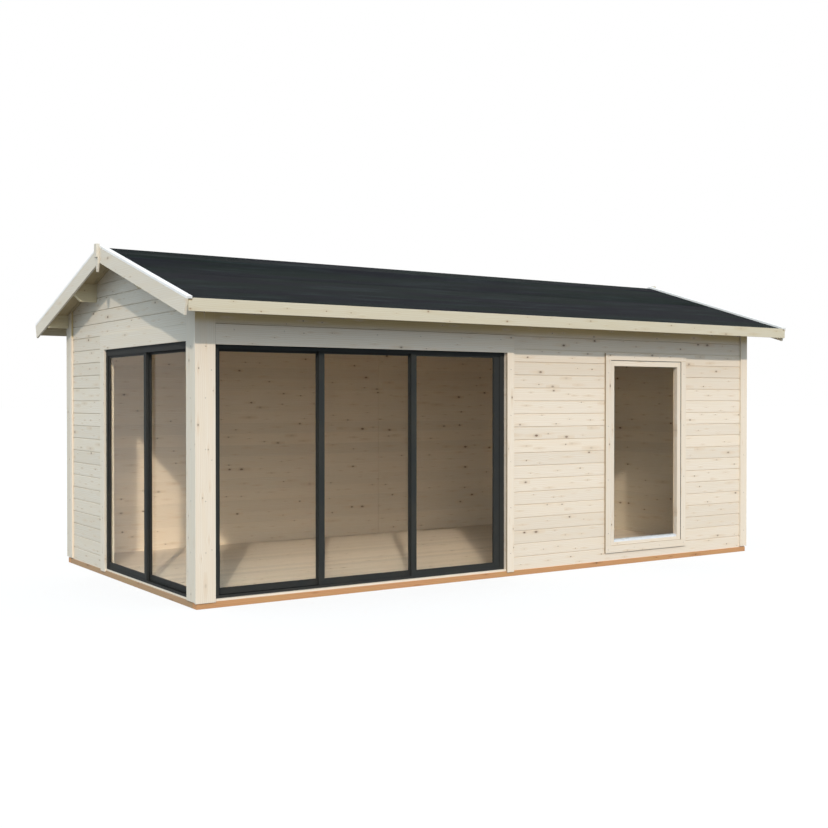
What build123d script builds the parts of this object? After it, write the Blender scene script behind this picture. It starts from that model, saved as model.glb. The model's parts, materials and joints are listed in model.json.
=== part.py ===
"""Gable-roofed timber garden cabin with two glazed sliding doors and a tall window.

Millimetres. X runs along the long front, Y from the front to the back, Z up from the ground.
The origin is on the ground, under the middle of the cabin.
"""
import os
from math import cos, radians, sin, tan

from build123d import *

# Walls and base
cabin_length = 5990            # over the corner boards, along the front
cabin_width = 3045             # over the corner boards, front to back
trim_thickness = 18            # corner boards, casings, fascias and bargeboards
log_thickness = 44             # wall logs
wall_over_door = 240           # wall between the door frames and the eave beams
bearer_height = 46
bearer_width = 70
bearer_inset = 11              # from the corner boards' face to the bearer
floor_thickness = 16
floor_joint_gap = 2            # between the floor and the walls
joist_width = 45
joist_spacing = 590

# Roof
roof_angle = 16.86             # degrees
eave_beam_height = 105         # at its outer face
felt_thickness = 6
roof_board_thickness = 18
eave_overhang = 320            # beyond the corner boards, front and back
gable_overhang = 200           # beyond the corner boards, at both ends
fascia_height = 93
fascia_rise = 9.5              # fascia top above the felt
fascia_notch_depth = 20        # the fascia's top is cut away under the verge caps
bargeboard_height = 119
verge_cap_width = 47
verge_cap_thickness = 20
purlin_width = 44
purlin_height = 144
purlin_chamfer = 58            # bevel under each purlin's end
ridge_purlin_height = 120
purlin_offset = 720            # from the ridge to each side purlin's middle
finial_width = 55
finial_length = 232
finial_head_length = 111
finial_tail_thickness = 16
finial_head_extra = 14         # the head is this much thicker than the tail
finial_tip_width = 18
finial_taper_length = 75
finial_rise = 6                # above the verge caps' joint

# Corner boards and casings
near_corner_board_width = 161  # the front's near corner
near_end_board_width = 171     # the near corner, on the gable
far_corner_board_width = 92    # the other corners, on the long walls
far_end_board_width = 150      # the other corners, on the gables
near_corner_board_drop = 3     # the near corner board reaches this far below the logs
near_end_board_lift = 4        # the near gable board ends this far above the logs' foot
far_board_lift = 10            # the other corner boards end this far above the logs' foot
front_casing_width = 76
side_casing_width = 104
casing_drop = 9                # the casings' side boards reach this far below the logs
head_casing_height = 126       # above the door frames

# Sliding doors
door_height = 1910             # outer height of both aluminium frames
front_door_width = 2733
side_door_width = 1817
front_door_setback = 47        # from the casing's face to the frame's face
side_door_setback = 20
front_head_overlap = 26        # the front head board hides this much of the frame
frame_web = 10                 # wall of the frame's channel
frame_lip = 3                  # thickness of the lips in front of and behind the panels
jamb_face_width = 45           # the frame's face beside the panels
head_face_width = 55
sill_face_width = 20
panel_thickness = 22
panel_gap = 8                  # between panels on neighbouring tracks
panel_lip_gap = 5              # between a panel and the frame's lips
panel_side_gap = 5             # between a closed panel and the jamb's web
panel_top_gap = 5
panel_bottom_gap = 5
front_tracks = 3
side_tracks = 2
middle_panel_width = 905
meeting_stile_width = 50
jamb_stile_width = 90
corner_stile_width = 66        # the front door's stile beside the near corner board
slim_stile_width = 35          # the side door's stile beside its lining
top_rail = 53
bottom_rail = 44
glass_thickness = 6
glass_bite = 8                 # depth of the glass in its groove
roller_radius = 10
roller_width = 8
roller_inset = 120             # from a panel's edge to its roller
running_gap = 0.3

# Window
window_left = 4050             # casing's edge, from the near corner
window_width = 1057            # over the casing
window_foot = 71               # casing's foot above the wall's foot
window_head_drop = 2           # casing's head below the top of the door frames
window_casing_width = 64
casing_overlap = 6             # the casing covers this much of the wall opening's edge
sash_setback = 8               # from the casing's face to the sash's face
sash_gap = 3
sash_width = 46
sash_head = 51
sash_foot = 29
sash_depth = 56
pane_depth = 42                # from the sash's face to the pane
bead_height = 27
bead_depth = 34
bead_slope = 8

mid_x = cabin_length / 2
mid_y = cabin_width / 2
slope = tan(radians(roof_angle))
lean = sin(radians(roof_angle))
plumb = 1 / cos(radians(roof_angle))

wall_face = trim_thickness
wall_inner = wall_face + log_thickness
wall_bottom = bearer_height
floor_top = bearer_height + floor_thickness
door_top = floor_top + door_height
wall_top = door_top + wall_over_door
head_casing_top = door_top + head_casing_height

front_door_left = near_corner_board_width
front_door_right = front_door_left + front_door_width
side_door_near = near_end_board_width
side_door_far = side_door_near + side_door_width

window_right = window_left + window_width
window_bottom = wall_bottom + window_foot
window_top = door_top - window_head_drop
window_opening = [
    window_left + window_casing_width - casing_overlap,
    window_right - window_casing_width + casing_overlap,
    window_bottom + window_casing_width - casing_overlap,
    window_top - window_casing_width + casing_overlap,
]

soffit_depth = felt_thickness + roof_board_thickness
soffit_rise = (mid_y - wall_face) * slope
ridge_height = wall_top + eave_beam_height + soffit_rise + soffit_depth * plumb
verge_inner = gable_overhang - trim_thickness
verge_cap_inner = gable_overhang - verge_cap_width
fascia_inner = eave_overhang - trim_thickness

track_pitch = panel_thickness + panel_gap
track_top = floor_top + frame_web
panel_bottom = track_top + panel_bottom_gap
panel_top = door_top - frame_web - panel_top_gap


def slab(x0, x1, y0, y1, z0, z1):
    """A box from corner to corner."""
    box = Box(x1 - x0, y1 - y0, z1 - z0)
    return Pos((x0 + x1) / 2, (y0 + y1) / 2, (z0 + z1) / 2) * box


def along_x(points, x0, x1):
    """An outline of (y, z) points, run from x0 to x1."""
    outline = Polyline(*[(x0, y, z) for y, z in points], close=True)
    return extrude(make_face(outline), amount=x1 - x0, dir=(1, 0, 0))


def along_y(points, y0, y1):
    """An outline of (x, z) points, run from y0 to y1."""
    outline = Polyline(*[(x, y0, z) for x, z in points], close=True)
    return extrude(make_face(outline), amount=y1 - y0, dir=(0, 1, 0))


def roof_z(y, depth=0):
    """Height of the roof at y, at a depth below the felt's top, square to the slope."""
    return ridge_height - abs(y - mid_y) * slope - depth * plumb


def to_back(y):
    """The same distance from the back as y is from the front."""
    return cabin_width - y


def far_side(shape):
    """The mirror image at the cabin's other gable."""
    return mirror(shape, about=Plane.YZ.offset(mid_x))


def back_side(shape):
    """The mirror image across the ridge."""
    return mirror(shape, about=Plane.XZ.offset(-mid_y))


def save(node, *solids):
    """Write one node's solids, with the cabin's middle at the origin."""
    placed = [Pos(-mid_x, -mid_y, 0) * solid for solid in solids]
    shape = placed[0] if len(placed) == 1 else Compound(children=placed)
    export_step(shape, "parts/" + node + ".step")


def long_bearer():
    """Bearer under the front wall."""
    low = bearer_inset
    return slab(low, cabin_length - low, low, low + bearer_width, 0, bearer_height)


def end_bearer():
    """Bearer under the left gable, between the long ones."""
    low = bearer_inset
    inner = low + bearer_width
    return slab(low, inner, inner, to_back(inner), 0, bearer_height)


def build_base():
    """Bearers under the walls, joists between them and the floor."""
    save("long_bearers", long_bearer(), back_side(long_bearer()))
    save("end_bearers", end_bearer(), far_side(end_bearer()))

    first = bearer_inset + bearer_width
    span = cabin_length - 2 * first
    count = round(span / joist_spacing) - 1
    step = span / (count + 1)
    half = joist_width / 2
    joists = []
    for index in range(count):
        centre = first + (index + 1) * step
        joists.append(
            slab(centre - half, centre + half, first, to_back(first), 0, bearer_height)
        )
    save("floor_joists", *joists)

    edge = wall_inner + floor_joint_gap
    floor = slab(edge, cabin_length - edge, edge, to_back(edge), bearer_height, floor_top)
    save("floor_boards", floor)


def build_walls():
    """Log walls, split beside and over the doors and the window."""
    near = wall_face
    far = cabin_length - wall_face
    corner = slab(near, front_door_left, wall_face, wall_inner, wall_bottom, door_top)
    corner += slab(near, wall_inner, wall_inner, side_door_near, wall_bottom, door_top)
    save("near_corner_wall", corner)

    left, right, low, high = window_opening
    front = [
        ("front_wall_over_door", near, front_door_right, door_top, wall_top),
        ("front_wall_middle", front_door_right, left, wall_bottom, wall_top),
        ("front_wall_under_window", left, right, wall_bottom, low),
        ("front_wall_over_window", left, right, high, wall_top),
        ("front_wall_right", right, far, wall_bottom, wall_top),
    ]
    for node, x0, x1, z0, z1 in front:
        save(node, slab(x0, x1, wall_face, wall_inner, z0, z1))

    back = slab(near, far, wall_face, wall_inner, wall_bottom, wall_top)
    save("back_wall", back_side(back))

    back_inner = to_back(wall_inner)
    beside = slab(wall_face, wall_inner, side_door_far, back_inner, wall_bottom, door_top)
    save("left_wall_beside_door", beside)
    save("left_wall_gable", gable_wall(wall_face, wall_inner, door_top))
    right_wall = gable_wall(cabin_length - wall_inner, cabin_length - wall_face, wall_bottom)
    save("right_wall", right_wall)


def gable_wall(x0, x1, z0):
    """A gable wall up to the roof boards, notched for the purlins."""
    y0 = wall_inner
    y1 = to_back(wall_inner)
    wall = along_x(
        [
            (y0, z0),
            (y1, z0),
            (y1, roof_z(y1, soffit_depth)),
            (mid_y, roof_z(mid_y, soffit_depth)),
            (y0, roof_z(y0, soffit_depth)),
        ],
        x0,
        x1,
    )
    return wall - ridge_purlin() - side_purlin() - back_side(side_purlin())


def sloped_beam(y0, y1, low):
    """A beam on the front slope, from a level underside to the roof boards."""
    return along_x(
        [(y0, low), (y1, low), (y1, roof_z(y1, soffit_depth)), (y0, roof_z(y0, soffit_depth))],
        -verge_inner,
        cabin_length + verge_inner,
    )


def bevel_end(beam, y0, y1, low):
    """Cut the beam's lower corner away at both gables."""
    end = -verge_inner
    corner = along_y([(end, low), (end + purlin_chamfer, low), (end, low + purlin_chamfer)], y0, y1)
    return beam - corner - far_side(corner)


def ridge_purlin():
    """Ridge beam, run out to the bargeboards."""
    y0 = mid_y - purlin_width / 2
    y1 = mid_y + purlin_width / 2
    low = roof_z(mid_y, soffit_depth) - ridge_purlin_height
    front = sloped_beam(y0, mid_y, low)
    return bevel_end(front + back_side(front), y0, y1, low)


def side_purlin():
    """Purlin half way down the front slope, run out to the bargeboards."""
    y0 = mid_y - purlin_offset - purlin_width / 2
    y1 = y0 + purlin_width
    low = roof_z(y0, soffit_depth) - purlin_height
    return bevel_end(sloped_beam(y0, y1, low), y0, y1, low)


def eave_beam():
    """Top log of the front wall, run out to the bargeboards."""
    return sloped_beam(wall_face, wall_inner, wall_top)


def build_roof_frame():
    """Purlins and eave beams."""
    save("ridge_purlin", ridge_purlin())
    save("side_purlins", side_purlin(), back_side(side_purlin()))
    save("front_eave_beam", eave_beam())
    save("back_eave_beam", back_side(eave_beam()))


def slope_sheet(top_depth, bottom_depth):
    """A sheet on the front slope with plumb ends, from the fascia to the ridge."""
    return along_x(
        [
            (-fascia_inner, roof_z(-fascia_inner, bottom_depth)),
            (mid_y, roof_z(mid_y, bottom_depth)),
            (mid_y, roof_z(mid_y, top_depth)),
            (-fascia_inner, roof_z(-fascia_inner, top_depth)),
        ],
        -verge_inner,
        cabin_length + verge_inner,
    )


def verge_board(x1, top_depth, bottom_depth):
    """A board along the front verge, cut square at the eave and plumb at the ridge."""
    y_top = -eave_overhang + (top_depth + verge_cap_thickness) * lean
    y_bottom = -eave_overhang + (bottom_depth + verge_cap_thickness) * lean
    return along_x(
        [
            (y_bottom, roof_z(y_bottom, bottom_depth)),
            (mid_y, roof_z(mid_y, bottom_depth)),
            (mid_y, roof_z(mid_y, top_depth)),
            (y_top, roof_z(y_top, top_depth)),
        ],
        -gable_overhang,
        x1,
    )


def eave_fascia():
    """Board along the front eave, notched under the verge caps."""
    x0 = -verge_inner
    x1 = cabin_length + verge_inner
    top = roof_z(-eave_overhang) + fascia_rise
    board = slab(x0, x1, -eave_overhang, -fascia_inner, top - fascia_height, top)
    notch = slab(
        x0, -verge_cap_inner, -eave_overhang, -fascia_inner, top - fascia_notch_depth, top
    )
    return board - notch - far_side(notch)


def finial():
    """Batten over the bargeboards' joint, with a thicker head and a pointed tail."""
    top = roof_z(mid_y, -verge_cap_thickness) + finial_rise
    shoulder = top - finial_head_length
    tip = top - finial_length
    half = finial_width / 2
    half_tip = finial_tip_width / 2
    back = -gable_overhang
    middle = back - finial_tail_thickness
    tail = along_x(
        [
            (mid_y - half, tip + finial_taper_length),
            (mid_y - half_tip, tip),
            (mid_y + half_tip, tip),
            (mid_y + half, tip + finial_taper_length),
            (mid_y + half, top),
            (mid_y - half, top),
        ],
        middle,
        back,
    )
    head = slab(middle - finial_head_extra, middle, mid_y - half, mid_y + half, shoulder, top)
    return tail + head


def build_roof():
    """Roof boards, felt, fascias, bargeboards, verge caps and finials."""
    boards = slope_sheet(felt_thickness, soffit_depth)
    save("front_roof_boards", boards)
    save("back_roof_boards", back_side(boards))
    felt = slope_sheet(0, felt_thickness)
    save("front_roof_felt", felt)
    save("back_roof_felt", back_side(felt))
    save("eave_fascias", eave_fascia(), back_side(eave_fascia()))

    board = verge_board(-verge_inner, 0, bargeboard_height)
    save("front_bargeboards", board, far_side(board))
    save("back_bargeboards", back_side(board), back_side(far_side(board)))
    cap = verge_board(-verge_cap_inner, -verge_cap_thickness, 0)
    save("front_verge_caps", cap, far_side(cap))
    save("back_verge_caps", back_side(cap), back_side(far_side(cap)))
    save("finials", finial(), far_side(finial()))


def corner_boards(front_width, end_width, front_low, end_low):
    """The two boards round the near corner, up to the roof boards."""
    front = slab(0, front_width, 0, trim_thickness, front_low, roof_z(0, soffit_depth))
    end = along_x(
        [
            (trim_thickness, end_low),
            (end_width, end_low),
            (end_width, roof_z(end_width, soffit_depth)),
            (trim_thickness, roof_z(trim_thickness, soffit_depth)),
        ],
        0,
        trim_thickness,
    )
    return front + end - eave_beam() - long_bearer() - end_bearer()


def build_trim():
    """Corner boards, door casings and thresholds."""
    near = corner_boards(
        near_corner_board_width,
        near_end_board_width,
        wall_bottom - near_corner_board_drop,
        wall_bottom + near_end_board_lift,
    )
    far_low = wall_bottom + far_board_lift
    far = corner_boards(far_corner_board_width, far_end_board_width, far_low, far_low)
    save("front_corner_boards", near, far_side(far))
    save("back_corner_boards", back_side(far), back_side(far_side(far)))

    side_low = wall_bottom - casing_drop
    x0 = front_door_left
    x1 = front_door_right
    head_low = door_top - front_head_overlap
    casing = slab(x1, x1 + front_casing_width, 0, trim_thickness, side_low, head_casing_top)
    casing += slab(x0, x1, 0, trim_thickness, head_low, head_casing_top)
    save("front_door_casing", casing - long_bearer())

    y0 = side_door_near
    y1 = side_door_far
    casing = slab(0, trim_thickness, y1, y1 + side_casing_width, side_low, head_casing_top)
    casing += slab(0, trim_thickness, y0, y1, door_top, head_casing_top)
    save("side_door_casing", casing - end_bearer())

    edge = wall_inner + floor_joint_gap
    save("front_door_threshold", slab(x0, x1, wall_face, edge, wall_bottom, floor_top))
    save("side_door_threshold", slab(wall_face, edge, y0, y1, wall_bottom, floor_top))


class FrontWall:
    """Places a door in the long front: u runs along X and d runs inwards along Y."""

    face = front_door_setback

    @staticmethod
    def slab(u0, u1, d0, d1, z0, z1):
        return slab(u0, u1, d0, d1, z0, z1)

    @staticmethod
    def roller(u, d, z):
        return Pos(u, d, z) * Rot(90, 0, 0) * Cylinder(roller_radius, roller_width)


class SideWall:
    """Places a door in the left gable: u runs along Y and d runs inwards along X."""

    face = side_door_setback

    @staticmethod
    def slab(u0, u1, d0, d1, z0, z1):
        return slab(d0, d1, u0, u1, z0, z1)

    @staticmethod
    def roller(u, d, z):
        return Pos(d, u, z) * Rot(0, 90, 0) * Cylinder(roller_radius, roller_width)


def frame_back(wall, tracks):
    """Depth of the back of a frame with this many tracks."""
    panels = tracks * panel_thickness + (tracks - 1) * panel_gap
    return wall.face + panels + 2 * (frame_lip + panel_lip_gap)


def door_frame(wall, u0, u1, tracks):
    """An aluminium frame whose channel holds the panels between two lips."""
    d0 = wall.face
    d1 = frame_back(wall, tracks)
    low = floor_top + sill_face_width
    high = door_top - head_face_width
    frame = wall.slab(u0, u1, d0, d1, floor_top, door_top)
    frame -= wall.slab(u0 + jamb_face_width, u1 - jamb_face_width, d0, d1, low, high)
    frame -= wall.slab(
        u0 + frame_web,
        u1 - frame_web,
        d0 + frame_lip,
        d1 - frame_lip,
        track_top,
        door_top - frame_web,
    )
    return frame


def door_panel(wall, u0, u1, track, stile0, stile1):
    """One sliding panel, track 0 being the outermost: its frame and its glass."""
    d0 = wall.face + frame_lip + panel_lip_gap + track * track_pitch
    d1 = d0 + panel_thickness
    middle = (d0 + d1) / 2
    left = u0 + stile0
    right = u1 - stile1
    low = panel_bottom + bottom_rail
    high = panel_top - top_rail
    pane = wall.slab(
        left - glass_bite,
        right + glass_bite,
        middle - glass_thickness / 2,
        middle + glass_thickness / 2,
        low - glass_bite,
        high + glass_bite,
    )
    frame = wall.slab(u0, u1, d0, d1, panel_bottom, panel_top)
    frame -= wall.slab(left, right, d0, d1, low, high)
    frame -= pane
    for u in (u0 + roller_inset, u1 - roller_inset):
        frame += wall.roller(u, middle, track_top + running_gap + roller_radius)
    return frame, pane


def build_front_door():
    """Three panels: the one at the corner runs innermost, the far one outermost."""
    u0 = front_door_left
    u1 = front_door_right
    save("front_door_frame", door_frame(FrontWall, u0, u1, front_tracks))
    low = u0 + frame_web + panel_side_gap
    high = u1 - frame_web - panel_side_gap
    side_width = (high - low - middle_panel_width) / 2 + meeting_stile_width
    middle_low = low + side_width - meeting_stile_width
    middle_high = middle_low + middle_panel_width
    meeting = meeting_stile_width
    panels = [
        ("corner", low, low + side_width, front_tracks - 1, corner_stile_width, meeting),
        ("middle", middle_low, middle_high, 1, meeting, meeting),
        ("far", high - side_width, high, 0, meeting, jamb_stile_width),
    ]
    for name, start, end, track, stile0, stile1 in panels:
        frame, pane = door_panel(FrontWall, start, end, track, stile0, stile1)
        save("front_door_" + name + "_panel", frame)
        save("front_door_" + name + "_glass", pane)
        print("front", name, "slides", low - start, high - end)


def build_side_door():
    """Two panels: the one at the corner runs innermost. Timber lines its track's far end."""
    u0 = side_door_near
    u1 = side_door_far
    lining_front = side_door_setback + frame_lip + panel_lip_gap + track_pitch - panel_gap / 2
    lining_back = frame_back(SideWall, side_tracks)
    low = floor_top + sill_face_width
    high = door_top - head_face_width
    lining = SideWall.slab(u1 - frame_web, u1, lining_front, lining_back, low, high)
    lip = SideWall.slab(u1 - jamb_face_width, u1, lining_front, lining_back, low, high)
    save("side_door_frame", door_frame(SideWall, u0, u1, side_tracks) - lip)
    save("side_door_lining", lining)
    near_end = u0 + frame_web + panel_side_gap
    far_end = u1 - frame_web - panel_side_gap
    width = (far_end - near_end + meeting_stile_width) / 2
    panels = [
        ("corner", near_end, side_tracks - 1, jamb_stile_width, meeting_stile_width),
        ("far", far_end - width, 0, meeting_stile_width, slim_stile_width),
    ]
    for name, start, track, stile0, stile1 in panels:
        end = start + width
        frame, pane = door_panel(SideWall, start, end, track, stile0, stile1)
        save("side_door_" + name + "_panel", frame)
        save("side_door_" + name + "_glass", pane)
        print("side", name, "slides", near_end - start, far_end - end)


def build_window():
    """Casing, sash, pane and the bead under the pane."""
    x0 = window_left
    x1 = window_right
    z0 = window_bottom
    z1 = window_top
    ring = window_casing_width
    casing = slab(x0, x1, 0, trim_thickness, z0, z1)
    casing -= slab(x0 + ring, x1 - ring, 0, trim_thickness, z0 + ring, z1 - ring)
    save("window_casing", casing)

    edge = ring + sash_gap
    front = sash_setback
    back = front + sash_depth
    left, right, low, high = window_opening
    pane_left = x0 + edge + sash_width
    pane_right = x1 - edge - sash_width
    pane_low = z0 + edge + sash_foot
    pane_high = z1 - edge - sash_head
    pane_front = front + pane_depth
    sash = slab(x0 + edge, x1 - edge, front, back, z0 + edge, z1 - edge)
    sash += slab(left, right, trim_thickness, back, low, high)
    sash -= slab(pane_left, pane_right, front, back, pane_low, pane_high)
    pane = slab(
        pane_left - glass_bite,
        pane_right + glass_bite,
        pane_front,
        pane_front + glass_thickness,
        pane_low - glass_bite,
        pane_high + glass_bite,
    )
    save("window_sash", sash - pane)
    save("window_glass", pane)

    bead = along_x(
        [
            (pane_front - bead_depth, pane_low),
            (pane_front, pane_low),
            (pane_front, pane_low + bead_height),
            (pane_front - bead_depth, pane_low + bead_height - bead_slope),
        ],
        pane_left,
        pane_right,
    )
    save("window_bead", bead)


os.makedirs("parts", exist_ok=True)
build_base()
build_walls()
build_roof_frame()
build_roof()
build_trim()
build_front_door()
build_side_door()
build_window()
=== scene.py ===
"""Looks of the gable-roofed timber garden cabin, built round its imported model. Metres, Z up.

X runs along the long front, Y from the front to the back. The origin is on the ground, under the
cabin's middle.
"""

import json
from math import cos, radians, sin

import bmesh
import bpy
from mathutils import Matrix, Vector

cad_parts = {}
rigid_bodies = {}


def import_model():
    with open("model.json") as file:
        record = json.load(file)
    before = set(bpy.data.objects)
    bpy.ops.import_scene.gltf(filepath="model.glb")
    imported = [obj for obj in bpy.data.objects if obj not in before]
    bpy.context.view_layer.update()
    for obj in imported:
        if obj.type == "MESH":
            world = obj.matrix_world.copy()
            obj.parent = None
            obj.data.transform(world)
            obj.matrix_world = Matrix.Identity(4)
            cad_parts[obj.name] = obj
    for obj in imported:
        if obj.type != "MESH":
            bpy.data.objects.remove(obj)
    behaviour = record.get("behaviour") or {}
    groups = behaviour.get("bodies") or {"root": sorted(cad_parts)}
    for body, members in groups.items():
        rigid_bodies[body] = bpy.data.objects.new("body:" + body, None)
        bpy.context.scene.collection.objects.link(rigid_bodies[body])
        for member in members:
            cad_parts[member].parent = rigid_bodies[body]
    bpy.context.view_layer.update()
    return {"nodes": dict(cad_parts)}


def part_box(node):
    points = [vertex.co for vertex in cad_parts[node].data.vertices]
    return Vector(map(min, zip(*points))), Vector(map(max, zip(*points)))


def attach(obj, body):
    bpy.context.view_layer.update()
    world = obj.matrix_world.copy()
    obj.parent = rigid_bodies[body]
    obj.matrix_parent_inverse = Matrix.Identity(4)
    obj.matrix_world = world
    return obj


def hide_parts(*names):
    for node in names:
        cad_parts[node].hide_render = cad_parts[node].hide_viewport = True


bpy.ops.object.select_all(action="SELECT")
bpy.ops.object.delete()
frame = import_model()

# Wall sizes
log_rows = (0.0466, 0.114)     # the lowest log's foot, and how much of the wall each log covers
log_margin = 0.008             # no joint is cut nearer than this to a wall's foot or head
outer_joint = dict(lower=0.0055, gap=0.003, upper=0.0015, depth=0.008)
inner_joint = dict(lower=0.0015, gap=0.0015, upper=0.0012, depth=0.003)
splice_from_middle = 0.447     # the back wall's logs come in two lengths, which meet here
log_splice = dict(lower=0.002, gap=0.0025, upper=0.002, depth=0.004)

# Roof and floor sizes
roof_pitch = radians(16.86)
soffit_rows = (-3.2, 0.0955)   # where the rows of roof boards start, and each board's width
soffit_margin = 0.01           # no board at the roof's ends is narrower than this
soffit_joint = dict(lower=0.002, gap=0.002, upper=0.002, depth=0.004)
felt_laps = (0.25, 0.94)       # edges of the ridge strip and of the upper roll, down from the ridge
felt_lap = dict(lower=0.003, gap=0.003, upper=0.001, depth=0.002)
fascia_rows = (2.156, 0.093)   # a fascia's foot, and its height
floor_rows = (-1.4, 0.1145)    # the same for the floor boards
floor_margin = 0.06            # a narrower strip at the floor's edge is one with the next board
floor_joint = dict(lower=0.001, gap=0.0016, upper=0.001, depth=0.003)

# Trim and screw sizes
near_board_width = 0.161       # the near corner's board on the front
near_end_board_width = 0.171   # and its board on the gable
corner_board_width = 0.092     # the other corners' boards on the long walls
front_jamb_width = 0.076       # the upright boards beside the front door and the side door
side_jamb_width = 0.104
jamb_top = 1.946               # where the casings' upright boards end and their head boards begin
window_trim_width = 0.064
butt_joint = dict(lower=0.0004, gap=0.0007, upper=0.0004, depth=0.0012)
screw_radius = 0.0042
screw_depth = 0.003
screw_rise = 0.0006            # how far a screw's head stands out of the wood
screw_recess = 0.0009
screw_rim = 0.35               # the rim's share of the head's radius
near_screws = (0.414, 1.93)    # heights of a row's lowest and highest screw
inner_screws = (0.432, 1.755)
inner_screws_in = 0.13         # the near corner board's second row, from the corner
end_screws_in = 0.092          # the other corners' rows on the gables, from the corner
corner_screws = (0.214, 2.13)
jamb_screws = (0.2, 1.8)
head_screws_in = 0.15          # from a casing board's end to its first screw
head_screws_down = 0.04        # from the top of the front door's head board

# Door and window sizes
glass_bite = 0.008             # how deep the door panes' edges sit in their frames
seal_width = 0.0045
seal_depth = 0.0035            # how far the rubber stands out from each face of the glass
# the window's rubber seal, whose black also stands in for the seam's shadow as painted shade
window_seal_painted_shade_width = 0.005
window_seal_painted_shade_depth = 0.004
window_seal_painted_shade_out = 0.0005       # from the sash's face to the middle of the seal

# Widths of the eased edges
planed_edge = 0.0018
sawn_edge = 0.002
cap_edge = 0.0025
felt_edge = 0.001
metal_edge = 0.0008
glass_edge = 0.0004
bead_edge = 0.001
seal_edge = 0.001
window_seal_painted_shade_edge = 0.0008

# Light and view
sun_path = (0.58, 1.0, -0.66)  # the way the sunlight falls, from the front left
sun_strength = 2.07
sun_colour = (1.0, 0.90, 0.78)
sun_spread = radians(1.5)
sky_colour = (0.745, 0.89, 1.0, 1)
sky_strength = 1.06
white = (1, 1, 1, 1)
studio_floor_colour = (0.2, 0.2, 0.2, 1)
studio_floor_glow = 0.8
studio_floor_width = 400
studio_floor_drop = 0.001      # keeps the floor clear of the bearers' undersides
view_place = (-6.3606, -9.4111, 1.5315)
view_heading = 56.1854         # degrees, round from the cabin's length
view_dip = 0.6687              # degrees below the level
view_reach = 500               # metres
lens_length = 50.318           # millimetres, as is the film
film_width = 36.0


# Finishes

painted_eave_shade_heights = (2.085, 2.15)   # heights over which the wood is painted darker and yellower: painted shade under the eaves
# the tone that this painted eave shade multiplies the wood by
painted_eave_shade_tone = (0.84, 0.76, 0.50, 1)
lone_boards = (-20.0, 0.17)    # planks for the single pieces, counted from far outside the cabin
smallest_knot = 0.0026
knot_spread = 0.0075           # what the largest knot's radius has beyond the smallest one's
knot_margin = 0.12             # the share of a board's width at each edge that has no knot


def place(tree, kind, feeds=None, **settings):
    """Add a shader node, and give each of its sockets a value or the output that feeds it."""
    made = tree.nodes.new("ShaderNode" + kind)
    for setting, value in settings.items():
        setattr(made, setting, value)
    for socket, value in (feeds or {}).items():
        if isinstance(value, bpy.types.NodeSocket):
            tree.links.new(value, made.inputs[socket])
        else:
            made.inputs[socket].default_value = value
    return made


def maths(tree, operation, *terms):
    """One sum on numbers or on other nodes' outputs."""
    return place(tree, "Math", dict(enumerate(terms)), operation=operation).outputs[0]


def mixed(tree, share, first, second, blend="MIX"):
    """The first colour with this share of the second in it."""
    return place(tree, "Mix", {0: share, 6: first, 7: second}, data_type="RGBA",
                 blend_type=blend).outputs[2]


def fade(tree, value, start, end, low=0.0, high=1.0):
    """From low at start to high at end, easing in and out."""
    return place(tree, "MapRange", {0: value, 1: start, 2: end, 3: low, 4: high},
                 interpolation_type="SMOOTHSTEP").outputs[0]


def noise(tree, spot, scale, detail, roughness=0.5):
    """A cloudy pattern from 0 to 1, which is finer where the scale is larger."""
    return place(tree, "TexNoise", {"Vector": spot, "Scale": scale, "Detail": detail,
                                    "Roughness": roughness}).outputs["Fac"]


def raised(tree, height, strength, distance):
    """The surface's direction where height stands out of it."""
    return place(tree, "Bump", {"Strength": strength, "Distance": distance,
                                "Height": height}).outputs[0]


def new_finish(name):
    """An empty finish, and the tree that its nodes go in."""
    finish = bpy.data.materials.new(name)
    finish.use_nodes = True
    finish.node_tree.nodes.clear()
    return finish, finish.node_tree


def finish_off(tree, shader):
    place(tree, "OutputMaterial", {"Surface": shader})


def coated(tree, settings):
    """End a finish with one plain surface of these settings."""
    finish_off(tree, place(tree, "BsdfPrincipled", settings).outputs[0])


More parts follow.
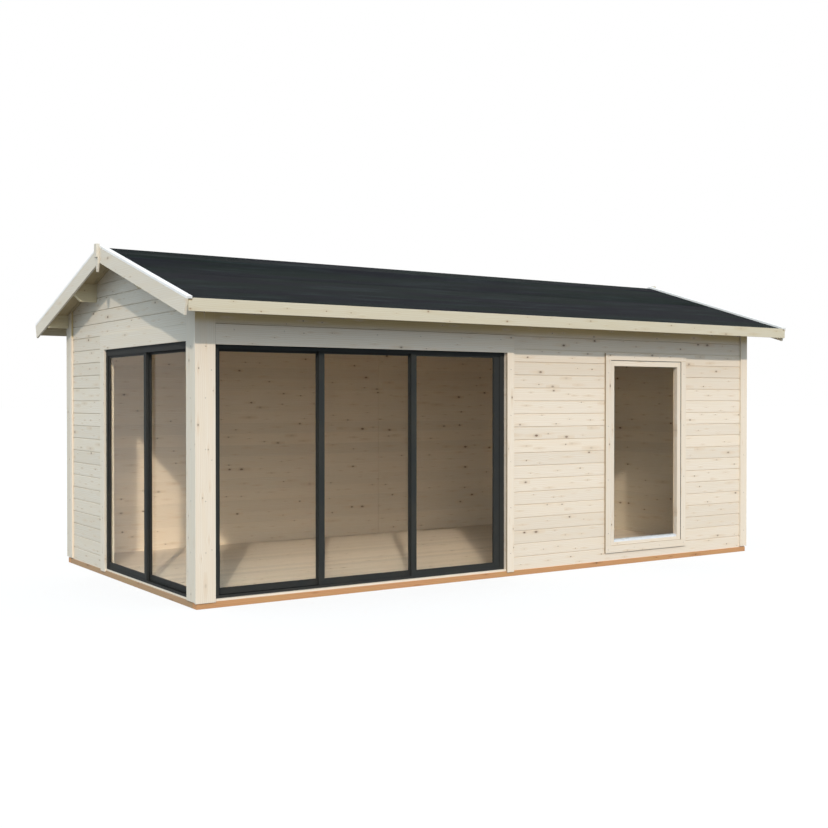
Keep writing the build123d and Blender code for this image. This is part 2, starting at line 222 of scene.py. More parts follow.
def timber(name, grain, across, pale, figure, warm, knot, rows=lone_boards, knot_run=0.95,
           board_tone=0.09, figure_share=0.7, roughness=0.62, with_painted_eave_shade=False):
    """Softwood whose grain runs along one axis. rows gives the edge of the first board and the
    width of each, because every board has its own grain, knots and tone."""
    finish, tree = new_finish(name)
    spot = place(tree, "SeparateXYZ", {0: place(tree, "TexCoord").outputs["Object"]})
    along, wide = spot.outputs[grain], spot.outputs[across]
    deep = spot.outputs[({"X", "Y", "Z"} - {grain, across}).pop()]
    foot, width = rows
    number = maths(tree, "FLOOR", maths(tree, "DIVIDE", maths(tree, "SUBTRACT", wide, foot), width))
    dice = place(tree, "SeparateColor", {
        0: place(tree, "TexWhiteNoise", {"W": number}, noise_dimensions="1D").outputs["Color"]})

    # Each board starts somewhere of its own along the grain.
    luck = dice.outputs[0]
    run = maths(tree, "MULTIPLY_ADD", luck, 37.0, along)

    # Each knot sits in its own stretch of its own board.
    cell = place(tree, "TexVoronoi", {"W": maths(tree, "DIVIDE", run, knot_run), "Randomness": 0.9},
                 voronoi_dimensions="1D")
    chance = place(tree, "SeparateColor", {0: cell.outputs["Color"]})
    off_along = maths(tree, "SUBTRACT", run, maths(tree, "MULTIPLY", cell.outputs["W"], knot_run))
    knot_row = maths(tree, "MULTIPLY_ADD", chance.outputs[2], 1 - 2 * knot_margin,
                     maths(tree, "ADD", number, knot_margin))
    off_wide = maths(tree, "SUBTRACT", wide, maths(tree, "MULTIPLY_ADD", knot_row, width, foot))
    along_squared = maths(tree, "MULTIPLY", off_along, off_along)
    wide_squared = maths(tree, "MULTIPLY", off_wide, off_wide)
    roundness = maths(tree, "MULTIPLY_ADD", chance.outputs[1], -0.65, 0.9)
    reach = maths(tree, "SQRT", maths(tree, "MULTIPLY_ADD", along_squared, roundness, wide_squared))
    size = maths(tree, "MULTIPLY_ADD", maths(tree, "POWER", chance.outputs[1], 3.0), knot_spread,
                 smallest_knot)
    darkness = fade(tree, chance.outputs[0], 0.25, 0.75, 0.1, 1.0)
    near = maths(tree, "DIVIDE", reach, size)
    core = maths(tree, "MULTIPLY", fade(tree, near, 1.1, 0.6), darkness)
    ring = maths(tree, "MULTIPLY", fade(tree, near, 2.6, 0.9), darkness)
    stretched = maths(tree, "SQRT", maths(tree, "MULTIPLY_ADD", along_squared, 0.02, wide_squared))
    smear = fade(tree, maths(tree, "DIVIDE", stretched, size), 3.0, 0.3)

    # The grain parts round the knots.
    pull = maths(tree, "MULTIPLY", fade(tree, reach, 0.05, 0.0), 0.85)
    bent = maths(tree, "SUBTRACT", wide, maths(tree, "MULTIPLY", off_wide, pull))
    lines = place(tree, "CombineXYZ", {0: bent, 1: maths(tree, "MULTIPLY", run, 0.045),
                                       2: maths(tree, "MULTIPLY_ADD", luck, 5.0, deep)})
    rings = place(tree, "TexWave", {"Vector": lines.outputs[0], "Scale": 21.0, "Distortion": 7.0,
                                    "Detail": 2.0, "Detail Scale": 0.6, "Detail Roughness": 0.5},
                  wave_type="BANDS", bands_direction="X").outputs["Fac"]

    # Fibres are long and thin, and the patches of warmer wood are long and broad.
    fibre_spot = place(tree, "CombineXYZ", {0: maths(tree, "MULTIPLY", run, 2.4),
                                            1: maths(tree, "MULTIPLY", bent, 190.0),
                                            2: maths(tree, "MULTIPLY", deep, 190.0)})
    fibre = noise(tree, fibre_spot.outputs[0], 1.0, 3.0, 0.6)
    patch_spot = place(tree, "CombineXYZ", {0: maths(tree, "MULTIPLY", run, 2.2),
                                            1: maths(tree, "MULTIPLY", wide, 19.0)})
    patch = noise(tree, patch_spot.outputs[0], 1.0, 2.0)

    streak = maths(tree, "MULTIPLY", maths(tree, "ADD", maths(tree, "MULTIPLY", rings, 0.55),
                                           fade(tree, fibre, 0.35, 0.75, 0.0, 0.45)), figure_share)
    wood = mixed(tree, streak, pale, figure)
    warmth = maths(tree, "MULTIPLY_ADD", dice.outputs[1], 0.35, fade(tree, patch, 0.42, 0.72, 0.0, 0.5))
    wood = mixed(tree, warmth, wood, warm)
    toned = maths(tree, "MULTIPLY_ADD", dice.outputs[2], -board_tone, 1.0)
    board_grey = place(tree, "CombineColor", {0: toned, 1: toned, 2: toned}).outputs[0]
    wood = mixed(tree, 1.0, wood, board_grey, "MULTIPLY")
    # Painted shade: high on the walls, under the eaves, the wood is darkened and yellowed to stand in
    # for the shade and warm bounce light there.
    if with_painted_eave_shade:
        eave_shade_share = fade(tree, spot.outputs["Z"], *painted_eave_shade_heights)
        wood = mixed(tree, eave_shade_share, wood, painted_eave_shade_tone, "MULTIPLY")
    wood = mixed(tree, maths(tree, "MULTIPLY", smear, 0.8), wood, figure)
    wood = mixed(tree, maths(tree, "MULTIPLY", ring, 0.45), wood, warm)
    wood = mixed(tree, maths(tree, "MULTIPLY", ring, 0.22), wood, knot)
    wood = mixed(tree, maths(tree, "MULTIPLY", core, 0.85), wood, knot)

    height = maths(tree, "ADD", maths(tree, "MULTIPLY", fibre, 0.5),
                   maths(tree, "SUBTRACT", maths(tree, "MULTIPLY", rings, 0.35), core))
    rough = maths(tree, "MULTIPLY_ADD", fibre, 0.14, roughness - 0.07)
    coated(tree, {"Base Color": wood, "Roughness": rough, "Specular IOR Level": 0.3,
                  "Normal": raised(tree, height, 0.35, 0.0006)})
    return finish


# Tones of the wood: its pale ground, the darker figure of its rings, its warm patches and its knots
knot_brown = (0.150, 0.080, 0.045, 1)
spruce_tones = dict(pale=(0.905, 0.812, 0.700, 1), figure=(0.765, 0.622, 0.470, 1),
                    warm=(0.865, 0.735, 0.585, 1), knot=knot_brown)
aged_tones = dict(pale=(0.690, 0.630, 0.495, 1), figure=(0.590, 0.500, 0.350, 1),
                  warm=(0.640, 0.550, 0.390, 1), knot=(0.230, 0.130, 0.075, 1))
# Painted shade: the gables' spruce is the front's, made darker and cooler to stand in for the weaker,
# bluer light on the cabin's ends.
gable_tones_painted_shade = dict(pale=(0.825, 0.770, 0.673, 1), figure=(0.698, 0.590, 0.452, 1),
                   warm=(0.788, 0.697, 0.562, 1), knot=knot_brown)
# Painted shade: the roof beams' spruce is darker and yellower than the walls', standing in for the shade
# under the roof.
beam_tones_painted_shade = dict(pale=(0.780, 0.690, 0.480, 1), figure=(0.670, 0.560, 0.350, 1),
                  warm=(0.740, 0.630, 0.410, 1), knot=knot_brown)
finial_tones = dict(pale=(0.740, 0.690, 0.600, 1), figure=(0.640, 0.560, 0.450, 1),
                    warm=(0.700, 0.630, 0.520, 1), knot=knot_brown)
floor_tones = dict(pale=(0.855, 0.780, 0.705, 1), figure=(0.740, 0.635, 0.515, 1),
                   warm=(0.825, 0.722, 0.618, 1), knot=(0.170, 0.100, 0.058, 1))
# Painted shade: the roof boards' spruce is darker and yellower, standing in for the shade under the
# roof.
soffit_tones_painted_shade = dict(pale=(0.550, 0.450, 0.280, 1), figure=(0.450, 0.350, 0.190, 1),
                    warm=(0.500, 0.390, 0.220, 1), knot=(0.150, 0.085, 0.045, 1))
# Painted shade: a dark brown for the casings' side faces, standing in for the shade beside them.
painted_side_shade_tones = dict(pale=(0.420, 0.330, 0.225, 1), figure=(0.330, 0.250, 0.160, 1),
                  warm=(0.380, 0.290, 0.190, 1), knot=(0.120, 0.070, 0.040, 1))
treated_pine_tones = dict(pale=(0.650, 0.325, 0.160, 1), figure=(0.450, 0.210, 0.092, 1),
                          warm=(0.560, 0.315, 0.135, 1), knot=(0.100, 0.050, 0.025, 1),
                          figure_share=0.8, roughness=0.72)
# darker than the long bearers' treated pine; for the end bearers and the joists
darker_pine_tones = dict(pale=(0.500, 0.310, 0.185, 1), figure=(0.350, 0.205, 0.110, 1),
                      warm=(0.430, 0.300, 0.160, 1), knot=(0.090, 0.050, 0.028, 1),
                      figure_share=0.8, roughness=0.72)

front_logs = timber("spruce logs of the long walls", "X", "Z", rows=log_rows,
                    with_painted_eave_shade=True, **spruce_tones)
gable_logs = timber("spruce logs of the gables", "Y", "Z", rows=log_rows, **gable_tones_painted_shade)
upright_front = timber("spruce upright, face to the front", "Z", "X", with_painted_eave_shade=True,
                       **spruce_tones)
upright_end = timber("spruce upright, face to the end", "Z", "Y", **gable_tones_painted_shade)
level_front = timber("spruce level, along the front", "X", "Z", with_painted_eave_shade=True, **spruce_tones)
fascia_spruce = timber("spruce fascias, along the front", "X", "Z", rows=fascia_rows, knot_run=1.25,
                       **aged_tones)
level_end = timber("spruce level, along the end", "Y", "Z", **gable_tones_painted_shade)
beam_spruce = timber("spruce roof beams, along the front", "X", "Z", **beam_tones_painted_shade)
finial_spruce = timber("spruce finials", "Z", "Y", **finial_tones)
painted_side_shade = timber("spruce side faces, painted shade", "Z", "Y", **painted_side_shade_tones)
soffit_spruce = timber("spruce roof boards", "Y", "X", rows=soffit_rows, board_tone=0.16,
                       **soffit_tones_painted_shade)
floor_spruce = timber("spruce floor boards", "X", "Y", rows=floor_rows, board_tone=0.14,
                      **floor_tones)
long_bearer_pine = timber("treated pine, along the front", "X", "Z", **treated_pine_tones)
end_bearer_pine = timber("treated pine, along the end", "Y", "Z", **darker_pine_tones)


def powder_coat():
    """Dark powder-coated aluminium with a fine orange-peel surface."""
    finish, tree = new_finish("dark powder coat")
    spot = place(tree, "TexCoord").outputs["Object"]
    peel = noise(tree, spot, 900.0, 2.0)
    cloud = noise(tree, spot, 5.0, 3.0)
    cool_grey, warm_grey = (0.034, 0.036, 0.036, 1), (0.042, 0.042, 0.039, 1)
    coated(tree, {"Base Color": mixed(tree, fade(tree, cloud, 0.3, 0.7), cool_grey, warm_grey),
                  "Roughness": fade(tree, cloud, 0.3, 0.7, 0.42, 0.52), "Specular IOR Level": 0.02,
                  "Normal": raised(tree, peel, 0.2, 0.0001)})
    return finish


def mineral_felt():
    """Near-black roofing felt with mineral granules, streaked along the roll."""
    finish, tree = new_finish("mineral felt")
    spot = place(tree, "TexCoord").outputs["Object"]
    grain = place(tree, "TexVoronoi", {"Vector": spot, "Scale": 520.0}, feature="F1")
    speck = place(tree, "SeparateColor", {0: grain.outputs["Color"]})
    along_roll = place(tree, "Mapping", {"Vector": spot, "Scale": (0.7, 5.5, 5.5)}).outputs[0]
    drift = noise(tree, along_roll, 1.9, 4.0, 0.65)
    tint = noise(tree, along_roll, 0.8, 2.0)
    blue_black, green_black = (0.0056, 0.0058, 0.0106, 1), (0.0049, 0.0100, 0.0086, 1)
    dust, pale_granule, dark_granule = ((0.019, 0.028, 0.029, 1), (0.036, 0.045, 0.048, 1),
                                        (0.004, 0.004, 0.005, 1))
    colour = mixed(tree, fade(tree, tint, 0.38, 0.62), blue_black, green_black)
    colour = mixed(tree, fade(tree, drift, 0.45, 0.72, 0.0, 0.8), colour, dust)
    colour = mixed(tree, fade(tree, speck.outputs[0], 0.86, 0.95, 0.0, 0.5), colour, pale_granule)
    colour = mixed(tree, fade(tree, speck.outputs[1], 0.7, 0.9, 0.0, 0.6), colour, dark_granule)
    height = maths(tree, "SUBTRACT", 1.0, grain.outputs["Distance"])
    coated(tree, {"Base Color": colour, "Specular IOR Level": 0.06,
                  "Roughness": fade(tree, speck.outputs[2], 0.0, 1.0, 0.78, 0.95),
                  "Normal": raised(tree, height, 0.6, 0.0008)})
    return finish


def smooth_white(name, colour, roughness):
    """Plain white finish with a faint unevenness of its own."""
    finish, tree = new_finish(name)
    cloud = noise(tree, place(tree, "TexCoord").outputs["Object"], 9.0, 4.0)
    shade = tuple(0.9 * c for c in colour[:3]) + (1,)
    coated(tree, {"Base Color": mixed(tree, fade(tree, cloud, 0.35, 0.7, 0.0, 0.5), colour, shade),
                  "Roughness": fade(tree, cloud, 0.3, 0.7, roughness - 0.05, roughness + 0.05),
                  "Normal": raised(tree, cloud, 0.15, 0.0004)})
    return finish


def clear_pane():
    """Clear glass with a warm tint, which lets the sunlight through."""
    finish, tree = new_finish("clear glass")
    haze = noise(tree, place(tree, "TexCoord").outputs["Object"], 1.3, 2.0)
    tint = mixed(tree, haze, (0.90, 0.88, 0.83, 1), (0.93, 0.91, 0.86, 1))
    glass = place(tree, "BsdfPrincipled", {"Base Color": tint, "Roughness": 0.0, "IOR": 1.1,
                                           "Transmission Weight": 1.0})
    open_to_sun = place(tree, "BsdfTransparent", {"Color": (0.84, 0.84, 0.82, 1)})
    shadow_ray = place(tree, "LightPath").outputs["Is Shadow Ray"]
    finish_off(tree, place(tree, "MixShader", {0: shadow_ray, 1: glass.outputs[0],
                                               2: open_to_sun.outputs[0]}).outputs[0])
    return finish


def soft_rubber():
    finish, tree = new_finish("glazing rubber")
    cloud = noise(tree, place(tree, "TexCoord").outputs["Object"], 60.0, 3.0)
    coated(tree, {"Base Color": mixed(tree, cloud, (0.010, 0.010, 0.011, 1), (0.020, 0.020, 0.021, 1)),
                  "Roughness": fade(tree, cloud, 0.3, 0.7, 0.6, 0.75),
                  "Normal": raised(tree, cloud, 0.2, 0.0003)})
    return finish


def dull_steel():
    finish, tree = new_finish("dull screw steel")
    cloud = noise(tree, place(tree, "TexCoord").outputs["Object"], 220.0, 3.0)
    coated(tree, {"Base Color": mixed(tree, cloud, (0.08, 0.06, 0.045, 1), (0.15, 0.12, 0.09, 1)),
                  "Metallic": 0.7, "Roughness": fade(tree, cloud, 0.3, 0.7, 0.45, 0.65)})
    return finish


coated_aluminium = powder_coat()
roof_felt = mineral_felt()
cap_white = smooth_white("verge cap white", (0.90, 0.88, 0.86, 1), 0.35)
bead_white = smooth_white("window bead white", (0.74, 0.765, 0.80, 1), 0.3)
pane_glass = clear_pane()
rubber = soft_rubber()
screw_steel = dull_steel()


# Ways of working on a piece

sharp_corner = radians(40)     # edges that turn more than this are eased
crisp_edge = radians(32)       # and edges that turn more than this stay crisp to the light
crisp_joint = radians(20)      # as do the joints' chamfers on a wall or a roll of felt
one_face = radians(0.3)        # faces that turn less than this are one flat face
same_corner = 0.00001
on_the_line = 0.0001           # corners this near to a joint's gap or to a face are on it
mostly = 0.7                   # a face whose direction has this much of an axis looks that way
up, to_front, to_back, to_left, to_right = (0, 0, 1), (0, -1, 0), (0, 1, 0), (-1, 0, 0), (1, 0, 0)


def take_up(piece):
    """Choose this piece and nothing else."""
    bpy.ops.object.select_all(action="DESELECT")
    piece.select_set(True)
    bpy.context.view_layer.objects.active = piece


def choose_faces(piece, chosen):
    """Select the chosen faces of the piece that is open for editing."""
    mesh = bmesh.from_edit_mesh(piece.data)
    for face in mesh.faces:
        face.select = chosen(face)
    bmesh.update_edit_mesh(piece.data)


def cleaned_copy(node, name):
    """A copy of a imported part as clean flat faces, ready to be worked on."""
    part = frame["nodes"][node]
    piece = bpy.data.objects.new(name, part.data.copy())
    bpy.context.scene.collection.objects.link(piece)
    take_up(piece)
    bpy.ops.object.mode_set(mode="EDIT")
    bpy.ops.mesh.customdata_custom_splitnormals_clear()
    bpy.ops.mesh.select_all(action="SELECT")
    bpy.ops.mesh.remove_doubles(threshold=same_corner)
    bpy.ops.mesh.dissolve_limited(angle_limit=one_face)
    bpy.ops.object.mode_set(mode="OBJECT")
    return piece


def cut_joints(piece, across, places, face, lower, gap, upper, depth):
    """Cut a joint into one face at each place: a chamfer below, a gap and a chamfer above."""
    take_up(piece)
    face, across = Vector(face).normalized(), Vector(across)
    bpy.ops.object.mode_set(mode="EDIT")
    bpy.context.tool_settings.mesh_select_mode = (True, False, False)
    for middle in places:
        for line in (-gap / 2 - lower, -gap / 2, gap / 2, gap / 2 + upper):
            bpy.ops.mesh.select_all(action="SELECT")
            bpy.ops.mesh.bisect(plane_co=across * (middle + line), plane_no=across)
    mesh = bmesh.from_edit_mesh(piece.data)
    level = max(face.dot(v.co) for v in mesh.verts)
    for v in mesh.verts:
        in_gap = any(abs(across.dot(v.co) - middle) < gap / 2 + on_the_line for middle in places)
        v.select = in_gap and abs(face.dot(v.co) - level) < on_the_line
    mesh.select_flush(True)
    bmesh.update_edit_mesh(piece.data)
    bpy.ops.transform.translate(value=-face * depth)
    bpy.ops.object.mode_set(mode="OBJECT")


def joints_between(low, high, rows, margin):
    """Where a row of boards meet, at least a margin in from both edges of the piece."""
    start, width = rows
    lines = [start + width * n for n in range(int((high - start) / width) + 1)]
    return [line for line in lines if low + margin < line < high - margin]


def eased(piece, width, joints=()):
    """Take the sharpness off every edge, as planing and handling do, and score the joints."""
    take_up(piece)
    edge = piece.modifiers.new("eased edges", "BEVEL")
    edge.width, edge.segments = width, 2
    edge.limit_method, edge.angle_limit = "ANGLE", sharp_corner
    bpy.ops.object.modifier_apply(modifier=edge.name)
    for across, middle, face in joints:
        cut_joints(piece, across, [middle], face, **butt_joint)
    bpy.ops.object.shade_smooth_by_angle(angle=crisp_edge)
    true_faces = piece.modifiers.new("true flat faces", "WEIGHTED_NORMAL")
    true_faces.keep_sharp = True
    bpy.ops.object.modifier_apply(modifier=true_faces.name)
    return piece


def dressed(piece, finish, body, stands_for=()):
    """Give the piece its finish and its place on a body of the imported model."""
    piece.data.materials.clear()
    piece.data.materials.append(finish)
    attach(piece, body)
    if stands_for:
        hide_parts(*stands_for)
    return piece


def finished(node, name, finish, edge=planed_edge, body="cabin", joints=()):
    """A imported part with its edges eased, in the finish that it has on the cabin."""
    piece = eased(cleaned_copy(node, name), edge, joints)
    return dressed(piece, finish, body, [node])


def finished_apart(piece, finish, chosen):
    """Give a second finish to the faces whose middle and direction are chosen."""
    piece.data.materials.append(finish)
    for face in piece.data.polygons:
        if chosen(face.center, face.normal):
            face.material_index = len(piece.data.materials) - 1


def log_wall(node, name, finish, faces):
    """A wall of stacked logs, with a joint line between logs on each face."""
    piece = cleaned_copy(node, name)
    low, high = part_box(node)
    levels = joints_between(low.z, high.z, log_rows, log_margin)
    for face, joint in zip(faces, (outer_joint, inner_joint)):
        cut_joints(piece, up, levels, face, **joint)
        if node == "back_wall":
            cut_joints(piece, to_right, [splice_from_middle], face, **log_splice)
    bpy.ops.object.shade_smooth_by_angle(angle=crisp_joint)
    return dressed(piece, finish, "cabin", [node])


def rubber_frame(name, middle, turn, width, height, band):
    """A flat frame of rubber with bands of one width, standing as turn says."""
    bpy.ops.object.select_all(action="DESELECT")
    bpy.ops.mesh.primitive_plane_add(size=1, location=middle, rotation=turn)
    seal = bpy.context.object
    seal.name = name
    seal.scale = (width, height, 1)
    bpy.ops.object.transform_apply(location=True, rotation=True, scale=True)
    bpy.ops.object.mode_set(mode="EDIT")
    bpy.context.tool_settings.mesh_select_mode = (False, False, True)
    bpy.ops.mesh.select_all(action="SELECT")
    bpy.ops.mesh.inset(thickness=band)
    bpy.ops.mesh.delete(type="FACE")
    bpy.ops.object.mode_set(mode="OBJECT")
    return seal


def fitted_rubber(seal, depth, edge, body):
    """Give a flat seal its depth, alike on both sides, and its place."""
    thick = seal.modifiers.new("rubber", "SOLIDIFY")
    thick.thickness, thick.offset = depth, 0
    bpy.ops.object.modifier_apply(modifier=thick.name)
    return dressed(eased(seal, edge), rubber, body)


# Base

for node, finish in [("long_bearers", long_bearer_pine), ("end_bearers", end_bearer_pine),
                     ("floor_joists", end_bearer_pine)]:
    finished(node, node + "_sawn", finish, sawn_edge)

floor = cleaned_copy("floor_boards", "floor_boards_laid")
floor_low, floor_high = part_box("floor_boards")
cut_joints(floor, to_back, joints_between(floor_low.y, floor_high.y, floor_rows, floor_margin), up,
           **floor_joint)
dressed(floor, floor_spruce, "cabin", ["floor_boards"])
finished("front_door_threshold", "front_door_threshold_board", level_front)
finished("side_door_threshold", "side_door_threshold_board", level_end)

# Walls

for node, name, finish, faces in [
        ("near_corner_wall", "near_corner_logs", front_logs, (to_front, to_back)),
        ("front_wall_over_door", "logs_over_front_door", front_logs, (to_front, to_back)),
        ("front_wall_middle", "front_middle_logs", front_logs, (to_front, to_back)),
        ("front_wall_under_window", "logs_under_window", front_logs, (to_front, to_back)),
        ("front_wall_over_window", "logs_over_window", front_logs, (to_front, to_back)),
        ("front_wall_right", "front_right_logs", front_logs, (to_front, to_back)),
        ("back_wall", "back_logs", front_logs, (to_back, to_front)),
        ("left_wall_beside_door", "logs_beside_side_door", gable_logs, (to_left, to_right)),
        ("left_wall_gable", "left_gable_logs", gable_logs, (to_left, to_right)),
        ("right_wall", "right_gable_logs", gable_logs, (to_right, to_left))]:
    log_wall(node, name, finish, faces)

# Roof

for node, finish in [("ridge_purlin", beam_spruce), ("side_purlins", beam_spruce),
                     ("front_eave_beam", beam_spruce), ("back_eave_beam", beam_spruce),
                     ("eave_fascias", fascia_spruce), ("front_bargeboards", level_end),
                     ("back_bargeboards", level_end), ("finials", finial_spruce)]:
    finished(node, node + "_planed", finish)
for node in ("front_verge_caps", "back_verge_caps"):
    finished(node, node + "_white", cap_white, cap_edge)

rise, run = sin(roof_pitch), cos(roof_pitch)
for side, node, name in [(-1, "front_roof_boards", "front_soffit_boards"),
                         (1, "back_roof_boards", "back_soffit_boards")]:
    soffit = cleaned_copy(node, name)
    low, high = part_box(node)
    cut_joints(soffit, to_right, joints_between(low.x, high.x, soffit_rows, soffit_margin),
               (0, -side * rise, -run), **soffit_joint)
    dressed(soffit, soffit_spruce, "cabin", [node])
for side, node, name in [(-1, "front_roof_felt", "front_felt_rolls"),
                         (1, "back_roof_felt", "back_felt_rolls")]:
    felt = eased(cleaned_copy(node, name), felt_edge)
    ridge = -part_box(node)[1].z * rise
    cut_joints(felt, (0, side * run, -rise), [ridge + lap for lap in felt_laps],
               (0, side * rise, run), **felt_lap)
    bpy.ops.object.shade_smooth_by_angle(angle=crisp_joint)
    dressed(felt, roof_felt, "cabin", [node])

# Corner boards and casings

for node in ("front_corner_boards", "back_corner_boards"):
    corners = finished(node, node + "_planed", upright_front)
    # Painted shade: the corner boards' faces toward the ends take the darker, cooler spruce of the
    # gables.
    finished_apart(corners, upright_end, lambda spot, facing: abs(facing.x) > abs(facing.y))

front_casing = finished("front_door_casing", "front_door_casing_planed", upright_front,
                        joints=[(up, jamb_top, to_front)])
finished_apart(front_casing, level_front, lambda spot, facing: spot.z > jamb_top)
# Painted shade: the door casing's side faces take the dark brown that stands in for their shade.
finished_apart(front_casing, painted_side_shade, lambda spot, facing: abs(facing.x) > mostly)

side_casing = finished("side_door_casing", "side_door_casing_planed", upright_end,
                       joints=[(up, jamb_top, to_left)])
finished_apart(side_casing, level_end, lambda spot, facing: spot.z > jamb_top)

casing_low, casing_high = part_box("window_casing")
rail_low, rail_high = casing_low.z + window_trim_width, casing_high.z - window_trim_width
window_trim = finished("window_casing", "window_casing_planed", upright_front,
                       joints=[(up, rail_low, to_front), (up, rail_high, to_front)])
finished_apart(window_trim, level_front, lambda spot, facing: not rail_low < spot.z < rail_high)
# Painted shade: the window casing's left side face takes the dark brown that stands in for its shade.
finished_apart(window_trim, painted_side_shade,
               lambda spot, facing: facing.x < -mostly and spot.x < casing_low.x + window_trim_width / 2)

pane_left, pane_right = (corner.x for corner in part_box("window_bead"))
window_sash = finished("window_sash", "window_sash_planed", upright_front,
                       joints=[(to_right, x, to_front) for x in (pane_left, pane_right)])
finished_apart(window_sash, level_front, lambda spot, facing: pane_left < spot.x < pane_right)
finished("side_door_lining", "side_door_lining_planed", upright_end)


def window_seal_painted_shade():
    """A dark rubber seal between casing and sash, at the head and sides; its black is partly painted
    shade, standing in for the shadow in that seam.
    """
    left, right = casing_low.x + window_trim_width, casing_high.x - window_trim_width
    sash_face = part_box("window_sash")[0].y
    middle = ((left + right) / 2, sash_face - window_seal_painted_shade_out, (rail_low + rail_high) / 2)
    seal = rubber_frame("window_seal_and_painted_shade", middle, (radians(90), 0, 0), right - left,
                        rail_high - rail_low, window_seal_painted_shade_width)
    bpy.ops.object.mode_set(mode="EDIT")
    choose_faces(seal, lambda face: face.calc_center_median().z < rail_low + window_seal_painted_shade_width)
    bpy.ops.mesh.delete(type="FACE")
    bpy.ops.object.mode_set(mode="OBJECT")
    return fitted_rubber(seal, window_seal_painted_shade_depth, window_seal_painted_shade_edge, "cabin")


window_seal_painted_shade()


# Screws in the trim

def screw_head():
    """One countersunk head with its recess, facing up at the origin."""
    bpy.ops.object.select_all(action="DESELECT")
    bpy.ops.mesh.primitive_cylinder_add(vertices=12, radius=screw_radius, depth=screw_depth,
                                        location=(0, 0, screw_rise - screw_depth / 2))
    head = bpy.context.object
    bpy.ops.object.transform_apply(location=True)
    bpy.ops.object.mode_set(mode="EDIT")
    bpy.context.tool_settings.mesh_select_mode = (False, False, True)
    choose_faces(head, lambda face: face.normal.z > mostly)
    bpy.ops.mesh.inset(thickness=screw_rim * screw_radius)
    bpy.ops.transform.translate(value=(0, 0, -screw_recess))
    bpy.ops.object.mode_set(mode="OBJECT")
    return head


def screws(name, facing, spots):
    """A group of screws in one face of the trim."""
    head = screw_head()
    bpy.ops.object.select_all(action="DESELECT")
    turn = Vector(facing).to_track_quat("Z", "Y").to_euler()
    for spot in spots:
        copy = bpy.data.objects.new(name, head.data.copy())
        bpy.context.scene.collection.objects.link(copy)
        copy.location, copy.rotation_euler = spot, turn
        copy.select_set(True)
        bpy.context.view_layer.objects.active = copy
    bpy.ops.object.join()
    bpy.ops.object.transform_apply(location=True, rotation=True, scale=True)
    bpy.data.objects.remove(head)
    group = bpy.context.object
    group.name = name
    return dressed(group, screw_steel, "cabin")


def spaced(low, high, count):
    """Evenly spaced places from low to high."""
    return [low + (high - low) * n / (count - 1) for n in range(count)]


def upright_row(x, y, heights, count):
    return [(x, y, z) for z in spaced(*heights, count)]


def level_row(left, right, y, z, count):
    return [(x, y, z) for x in spaced(left, right, count)]


house_low, house_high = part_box("front_corner_boards")
left_face, right_face = house_low.x, house_high.x
front_face, back_face = house_low.y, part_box("back_corner_boards")[1].y
head_low, head_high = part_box("front_door_casing")
side_jamb_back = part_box("side_door_casing")[1].y
half_corner = corner_board_width / 2
half_trim = window_trim_width / 2
window_left, window_right = casing_low.x + half_trim, casing_high.x - half_trim
window_foot, window_head = casing_low.z + half_trim, casing_high.z - half_trim
window_screws = (window_foot + head_screws_in, window_head - head_screws_in)

screws("front_trim_screws", to_front, [
    *upright_row(left_face + near_board_width / 2, front_face, near_screws, 5),
    *upright_row(left_face + inner_screws_in, front_face, inner_screws, 3),
    *upright_row(right_face - half_corner, front_face, corner_screws, 6),
    *upright_row(head_high.x - front_jamb_width / 2, front_face, jamb_screws, 5),
    *level_row(head_low.x + head_screws_in, head_high.x - head_screws_in, front_face,
               head_high.z - head_screws_down, 7)])
screws("window_trim_screws", to_front, [
    *upright_row(window_left, front_face, window_screws, 4),
    *upright_row(window_right, front_face, window_screws, 4),
    *level_row(window_left, window_right, front_face, window_foot, 4),
    *level_row(window_left, window_right, front_face, window_head, 4)])
screws("left_trim_screws", to_left, [
    *upright_row(left_face, front_face + near_end_board_width / 2, near_screws, 5),
    *upright_row(left_face, back_face - end_screws_in, corner_screws, 6),
    *upright_row(left_face, side_jamb_back - side_jamb_width / 2, jamb_screws, 5)])
screws("right_trim_screws", to_right, [
    *upright_row(right_face, front_face + end_screws_in, corner_screws, 6),
    *upright_row(right_face, back_face - end_screws_in, corner_screws, 6)])
screws("back_trim_screws", to_back, [
    *upright_row(left_face + half_corner, back_face, corner_screws, 6),
    *upright_row(right_face - half_corner, back_face, corner_screws, 6)])

# Doors and window

for node in ("front_door_frame", "side_door_frame"):
    finished(node, node.replace("_frame", "_track_frame"), coated_aluminium,
             metal_edge)


def door_seal(leaf, faces_end):
    """The rubber round a door panel's pane, showing at both its faces."""
    low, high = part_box(leaf + "_glass")
    middle, size = (low + high) / 2, high - low
    glass_depth = size.x if faces_end else size.y
    width, height = (size.z, size.y) if faces_end else (size.x, size.z)
    turn = (0, radians(90), 0) if faces_end else (radians(90), 0, 0)
    seal = rubber_frame(leaf + "_seal", middle, turn, width - 2 * glass_bite,
                        height - 2 * glass_bite, seal_width)
    return fitted_rubber(seal, glass_depth + 2 * seal_depth, seal_edge, leaf)


for door, leaves in [("front_door", ("corner", "middle", "far")), ("side_door", ("corner", "far"))]:
    for which in leaves:
        leaf = door + "_" + which
        finished(leaf + "_panel", leaf + "_leaf", coated_aluminium, metal_edge, leaf)
        finished(leaf + "_glass", leaf + "_pane", pane_glass, glass_edge, leaf)
        door_seal(leaf, door == "side_door")

finished("window_glass", "window_pane", pane_glass, glass_edge)
finished("window_bead", "window_foot_bead", bead_white, bead_edge)


# Studio: a pale floor that keeps the cabin's shadow, a low sun from the front left and a soft sky

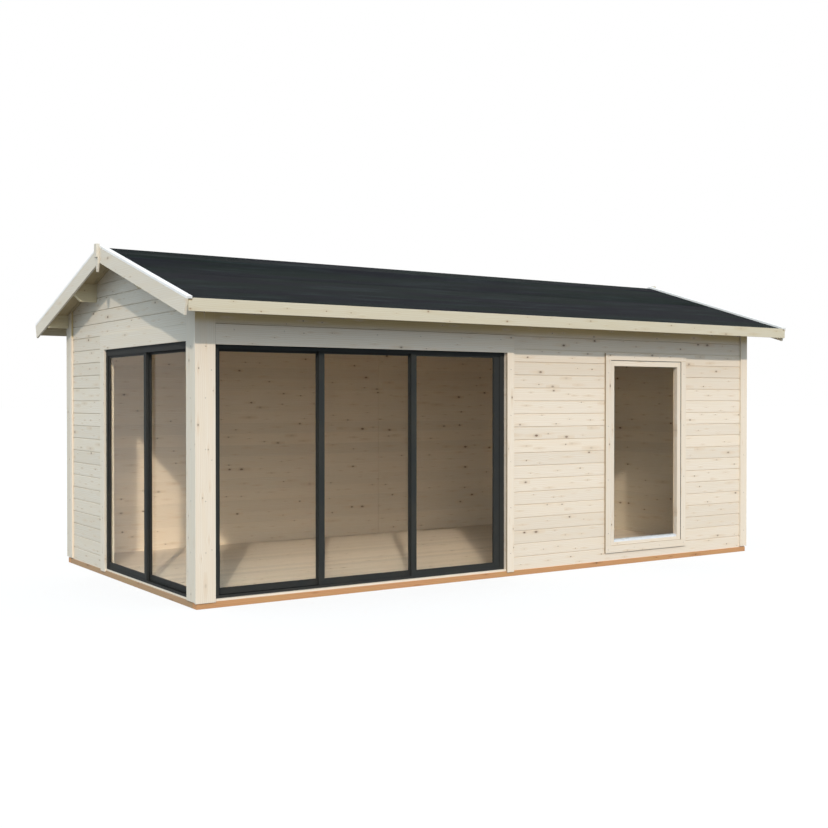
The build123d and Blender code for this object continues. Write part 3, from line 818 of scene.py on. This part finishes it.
def background_share(tree):
    """1 for what the eye, a mirror or a pane shows of the background, and 0 for the light it sheds."""
    rays = place(tree, "LightPath").outputs
    unscattered = maths(tree, "LESS_THAN", rays["Diffuse Depth"], 0.5)
    shown = maths(tree, "MAXIMUM", rays["Is Glossy Ray"], rays["Is Transmission Ray"])
    return maths(tree, "MAXIMUM", rays["Is Camera Ray"], maths(tree, "MULTIPLY", shown, unscattered))


bpy.ops.object.select_all(action="DESELECT")
bpy.ops.mesh.primitive_plane_add(size=studio_floor_width, location=(0, 0, -studio_floor_drop))
ground = bpy.context.object
ground.name = "studio_floor"
floor_finish, tree = new_finish("studio floor")
pale_floor = place(tree, "BsdfDiffuse", {"Color": studio_floor_colour})
glow = place(tree, "Emission", {
    "Color": white, "Strength": maths(tree, "MULTIPLY", background_share(tree), studio_floor_glow)})
finish_off(tree, place(tree, "AddShader", {0: pale_floor.outputs[0], 1: glow.outputs[0]}).outputs[0])
ground.data.materials.append(floor_finish)

world = bpy.data.worlds.new("studio sky")
bpy.context.scene.world = world
world.use_nodes = True
tree = world.node_tree
tree.nodes.clear()
soft_sky = place(tree, "Background", {"Color": sky_colour, "Strength": sky_strength})
white_sky = place(tree, "Background", {"Color": white, "Strength": 1.0})
lit = place(tree, "MixShader", {0: background_share(tree), 1: soft_sky.outputs[0],
                                2: white_sky.outputs[0]})
place(tree, "OutputWorld", {"Surface": lit.outputs[0]})

sun_data = bpy.data.lights.new("low_sun", "SUN")
sun_data.energy, sun_data.angle, sun_data.color = sun_strength, sun_spread, sun_colour
sun = bpy.data.objects.new("low_sun", sun_data)
bpy.context.scene.collection.objects.link(sun)
sun.rotation_euler = Vector(sun_path).to_track_quat("-Z", "Y").to_euler()

camera_data = bpy.data.cameras.new("front_left_view")
camera_data.lens, camera_data.sensor_width = lens_length, film_width
camera_data.clip_end = view_reach
camera = bpy.data.objects.new("front_left_view", camera_data)
bpy.context.scene.collection.objects.link(camera)
camera.location = view_place
camera.rotation_euler = (radians(90 - view_dip), 0, radians(view_heading - 90))
bpy.context.scene.camera = camera
bpy.context.scene.view_settings.view_transform = "Standard"
